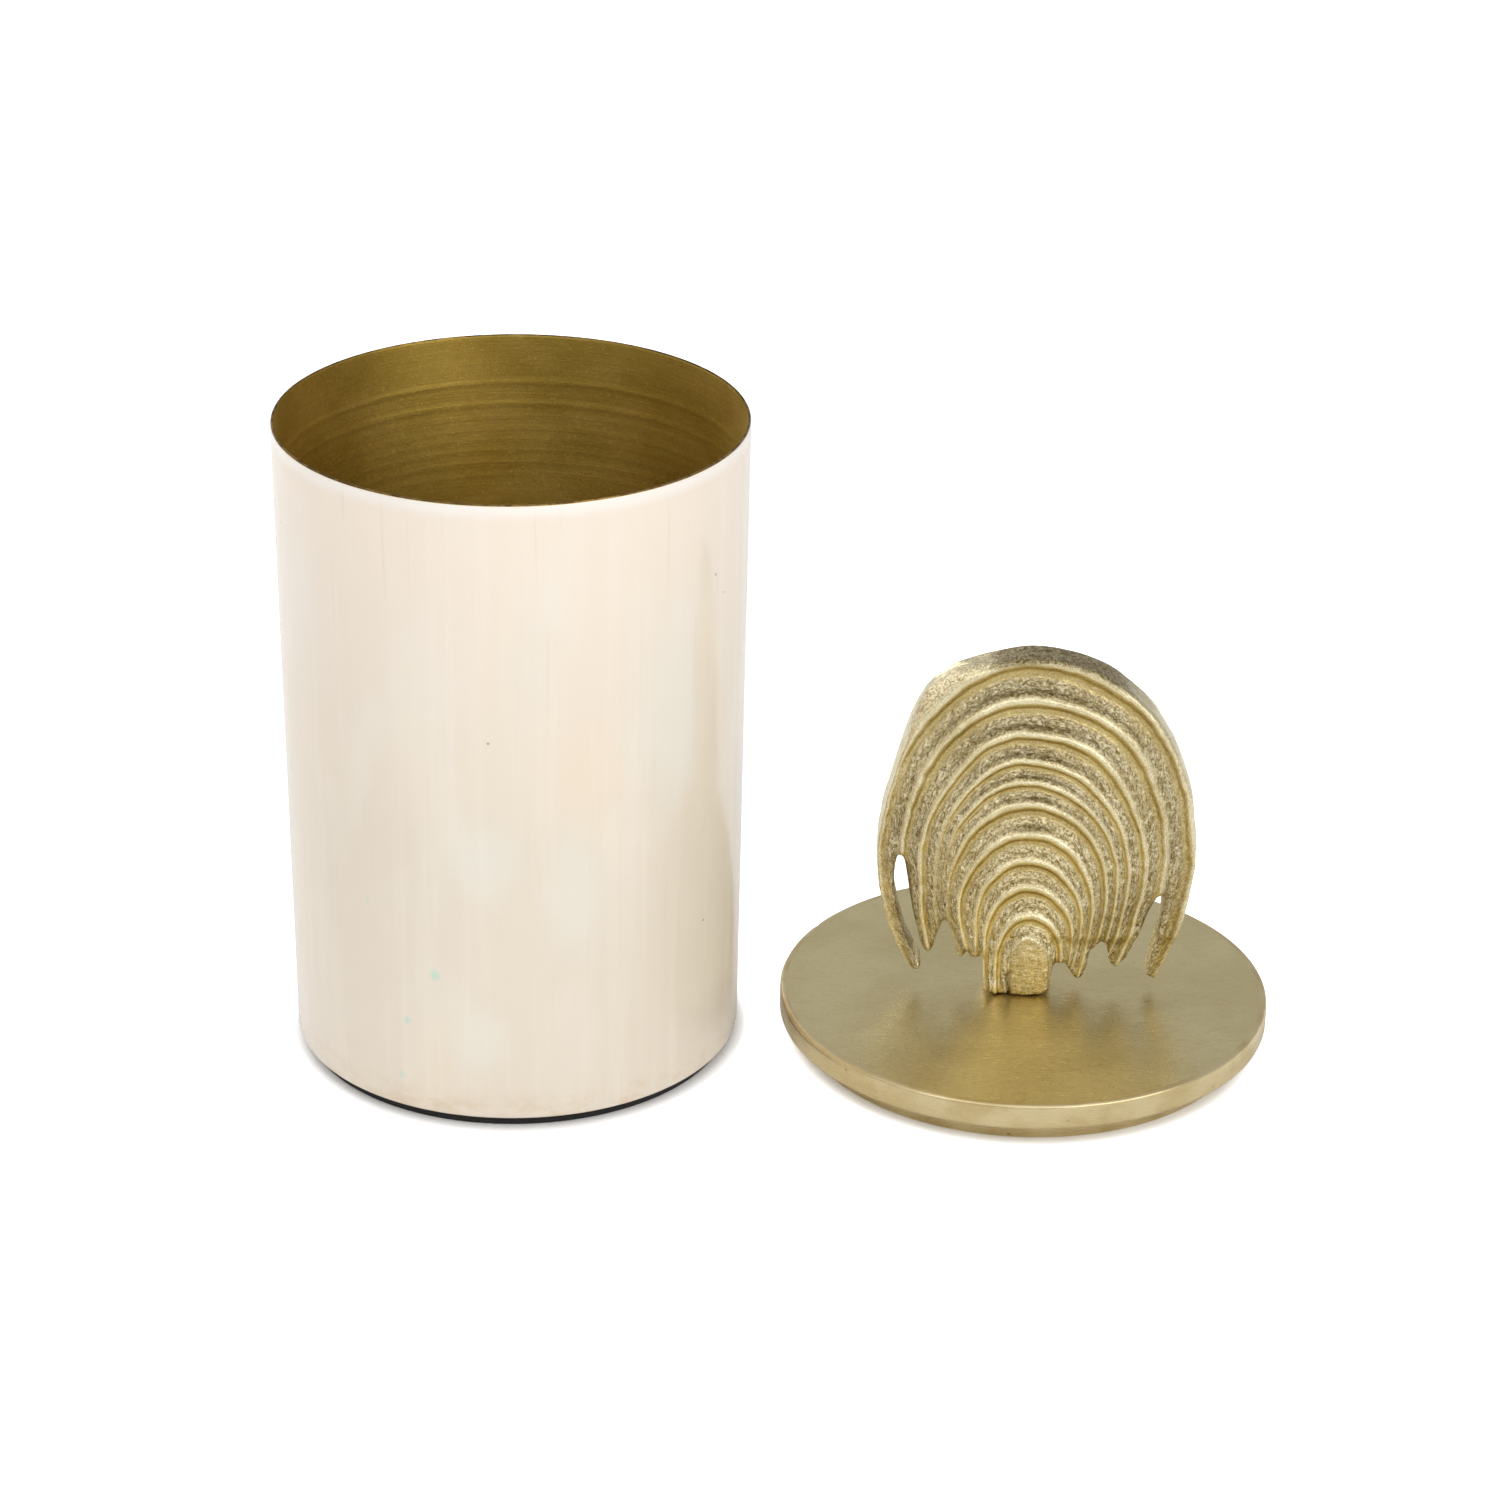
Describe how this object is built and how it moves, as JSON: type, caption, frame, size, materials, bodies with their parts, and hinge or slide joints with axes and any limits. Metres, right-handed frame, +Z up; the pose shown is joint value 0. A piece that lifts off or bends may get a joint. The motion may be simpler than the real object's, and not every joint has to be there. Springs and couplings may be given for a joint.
{
  "type": "cookie tin",
  "caption": "Round tapered enamelled cookie tin with a flat brass lid, shown standing beside it, that carries a tall cast finial of nested arches.",
  "frame": {"origin": "centre of the tin's base, on the table", "axes": "+Z up; +X from the tin's axis to the axis of the lid standing beside it; the finial's face looks towards -Y and +Y"},
  "size_m": [0.3003, 0.1494, 0.1997],
  "materials": {
    "gold_lacquer": "satin, lacquered, with fine spin lines",
    "cream_enamel": "glossy fired enamel",
    "black_rubber": "matt",
    "satin_brass": "satin, fine straight grain",
    "cast_brass": "sand-cast, polished on the crests",
    "steel": "plain"
  },
  "bodies": {
    "tin": {"tin_wall": "gold_lacquer", "enamel_coat": "cream_enamel", "tin_floor": "gold_lacquer", "base_pad": "black_rubber"},
    "set_screw": {"finial_set_screw": "steel"},
    "lid": {"lid_plate": "satin_brass", "lid_collar": "satin_brass", "finial": "cast_brass", "finial_screw": "steel", "screw_washer": "steel"}
  },
  "joints": [
    {"name": "lid_carry", "type": "hinge", "parent": "tin", "child": "set_screw", "pos_m": [0.1555, 0, 0.18184], "axis": [0, -1, 0], "range_deg": [0, 257.89]},
    {"name": "lid_level", "type": "hinge", "parent": "set_screw", "child": "lid", "pos_m": [0.1555, 0, 0.0228], "axis": [0, -1, 0], "range_deg": [-260, 0]}
  ],
  "couplings": [
    {"joint": "lid_level", "follows": "lid_carry", "ratio": -1}
  ]
}
